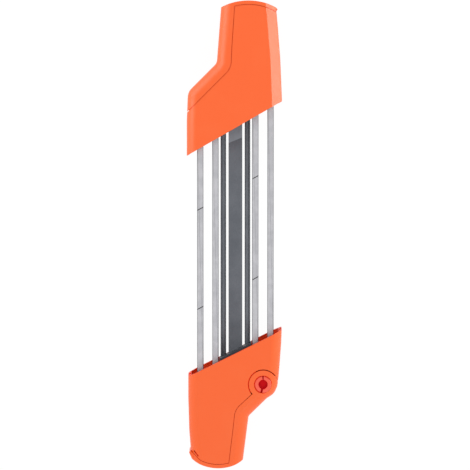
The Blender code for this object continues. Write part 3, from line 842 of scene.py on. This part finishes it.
def make_holder(handle, reach, end):
    """The block that seats the rails and files in a mouth, with its slots, bores and screw holes."""
    steps = [
        (-HOLDER_SIDE, HOLDER_SINK),
        (-HOLDER_STEP, HOLDER_SINK),
        (-HOLDER_STEP, -reach),
        (HOLDER_STEP, -reach),
        (HOLDER_STEP, HOLDER_SINK),
        (HOLDER_SIDE, HOLDER_SINK),
        (HOLDER_SIDE, end),
        (-HOLDER_SIDE, end),
    ]
    bm = plate([handle.mouth(x, depth) for x, depth in steps], HOLDER_LOW, HOLDER_HIGH)
    room = Vector((GAP, GAP, GAP))
    for rail in RAILS:
        low, high = flat_box(rail)
        bm = cut(bm, block(low - room, high + room))
        bm = cut(bm, upright(RAIL_PIN_BORE, pin_spot(rail, handle.name), 14, 40, 24))
    low, high = flat_box("flat_file")
    low.y -= 20
    bm = cut(bm, block(low - room, high + room))
    for node in ROUND_FILES:
        low, high = flat_box(node)
        centre = (low + high) / 2
        bm = cut(bm, rod(FILE_BORE, (centre.x, low.y - 20, centre.z), (centre.x, high.y + GAP, centre.z), 32))
    for number in (1, 2):
        bm = cut(bm, upright(HOLE, plan_centre(f"{handle.name}_shell_screw_{number}"), -5, 40))
    return bm


for rail in RAILS:
    piece(rail, "plated", make_rail(rail), [rail_steel], edge=0.8)
for node, body in zip(ROUND_FILES, ("left_file", "right_file")):
    piece(node, "toothed", make_round_file(node), [round_file_steel], body, sharp=25)
piece("flat_file", "toothed", make_flat_file("flat_file"), [flat_file_steel], sharp=20)
piece("upper_file_holder", "moulding", make_holder(upper, 0, 24), [dark], edge=0.3)
piece("lower_file_holder", "moulding", make_holder(lower, 1.6, 21.5), [dark], edge=0.3)


# Screws

def make_screw(node, length, inwards):
    """A socket-head screw that points inwards, with its head's face at the outer end of its node."""
    profile = [(0, length), (1.5, length - 2), (1.5, 2.2), (2.9, 2.2), (2.9, 0.4), (2.5, 0), (0, 0)]
    bm = cut(spun(profile, 40), rod(1.4, (0, 0, -1), (0, 0, 1.4), 6))
    inwards = Vector(inwards)
    low, high = flat_box(node)
    centre = (low + high) / 2
    head = centre - inwards * length / 2
    spot = Matrix.Translation(head) @ inwards.to_track_quat("Z", "Y").to_matrix().to_4x4()
    bmesh.ops.transform(bm, matrix=spot, verts=bm.verts)
    return bm


for handle in (upper, lower):
    for number in (1, 2, 3, 4):
        node = f"{handle.name}_shell_screw_{number}"
        piece(node, "socket_head", make_screw(node, SHELL_SCREW, (0, 0, 1)), [steel])
piece("cover_side_screw", "socket_head", make_screw("cover_side_screw", COVER_SCREW, (1, 0, 0)), [steel])
piece("cover_end_screw", "socket_head", make_screw("cover_end_screw", COVER_SCREW, (0, -1, 0)), [steel])


# Studio

CAMERA_DISTANCE = 2.2
CAMERA_TILT = math.radians(3.4)
FRONT_WIDTH = 0.361
SENSOR = 36
WORLD_FILL = 0.75
FLOOR_GLOW = 1.03
FLOOR_SHARE = 0.93
target = Vector((0.00045, 0.0004, 0.036))
camera_data = bpy.data.cameras.new("camera")
camera_data.sensor_width = SENSOR
camera_data.lens = SENSOR * CAMERA_DISTANCE / FRONT_WIDTH
camera = bpy.data.objects.new("camera", camera_data)
camera.location = target + Vector((0, math.sin(CAMERA_TILT), math.cos(CAMERA_TILT))) * CAMERA_DISTANCE
camera.rotation_euler = (-CAMERA_TILT, 0, 0)
bpy.context.scene.collection.objects.link(camera)
bpy.context.scene.camera = camera
bpy.context.scene.view_settings.view_transform = "Standard"


def seen_directly(tree):
    """1 for rays that the camera or a reflection sends, and 0 for rays that light the object."""
    rays = tree.nodes.new("ShaderNodeLightPath")
    seen = Shade(rays.outputs["Is Camera Ray"])
    for name in ("Is Glossy Ray", "Is Transmission Ray"):
        seen = seen.math("MAXIMUM", seen, Shade(rays.outputs[name]))
    return seen


world = bpy.data.worlds.new("studio")
bpy.context.scene.world = world
world.use_nodes = True
background = world.node_tree.nodes["Background"]
background.inputs["Color"].default_value = (1, 1, 1, 1)
level = seen_directly(world.node_tree) * (1 - WORLD_FILL) + WORLD_FILL
world.node_tree.links.new(level.socket, background.inputs["Strength"])


def lamp(name, place, aim, size, power):
    data = bpy.data.lights.new(name, "AREA")
    data.shape = "RECTANGLE"
    data.size, data.size_y = size
    data.energy = power
    obj = bpy.data.objects.new(name, data)
    obj.location = place
    obj.rotation_euler = (Vector(aim) - Vector(place)).to_track_quat("-Z", "Y").to_euler()
    bpy.context.scene.collection.objects.link(obj)


lamp("overhead_softbox", (0, -0.75, 0.65), (0, -0.1, 0), (0.6, 0.5), 1.5)
lamp("right_panel", (0.4, 0.13, 0.1), (0.03, 0.13, 0.03), (0.3, 0.2), 0.9)
lamp("left_panel", (-0.36, 0.27, 0.13), (-0.03, 0.14, 0.03), (0.45, 0.25), 0.8)


def make_floor():
    """A white floor that keeps only a faint shadow of the tool."""
    bm = bmesh.new()
    bmesh.ops.create_grid(bm, x_segments=1, y_segments=1, size=3)
    floor = as_object("floor", bm)
    floor.location.z = -0.0005
    paper = bpy.data.materials.new("white_floor")
    paper.use_nodes = True
    nodes, links = paper.node_tree.nodes, paper.node_tree.links
    matt = nodes["Principled BSDF"]
    matt.inputs["Base Color"].default_value = (0.9, 0.9, 0.9, 1)
    matt.inputs["Roughness"].default_value = 0.9
    mix = nodes.new("ShaderNodeMixShader")
    links.new((seen_directly(paper.node_tree) * FLOOR_SHARE).socket, mix.inputs["Fac"])
    links.new(matt.outputs[0], mix.inputs[1])
    glow = nodes.new("ShaderNodeEmission")
    glow.inputs["Strength"].default_value = FLOOR_GLOW
    links.new(glow.outputs[0], mix.inputs[2])
    links.new(mix.outputs[0], nodes["Material Output"].inputs["Surface"])
    floor.data.materials.append(paper)


make_floor()
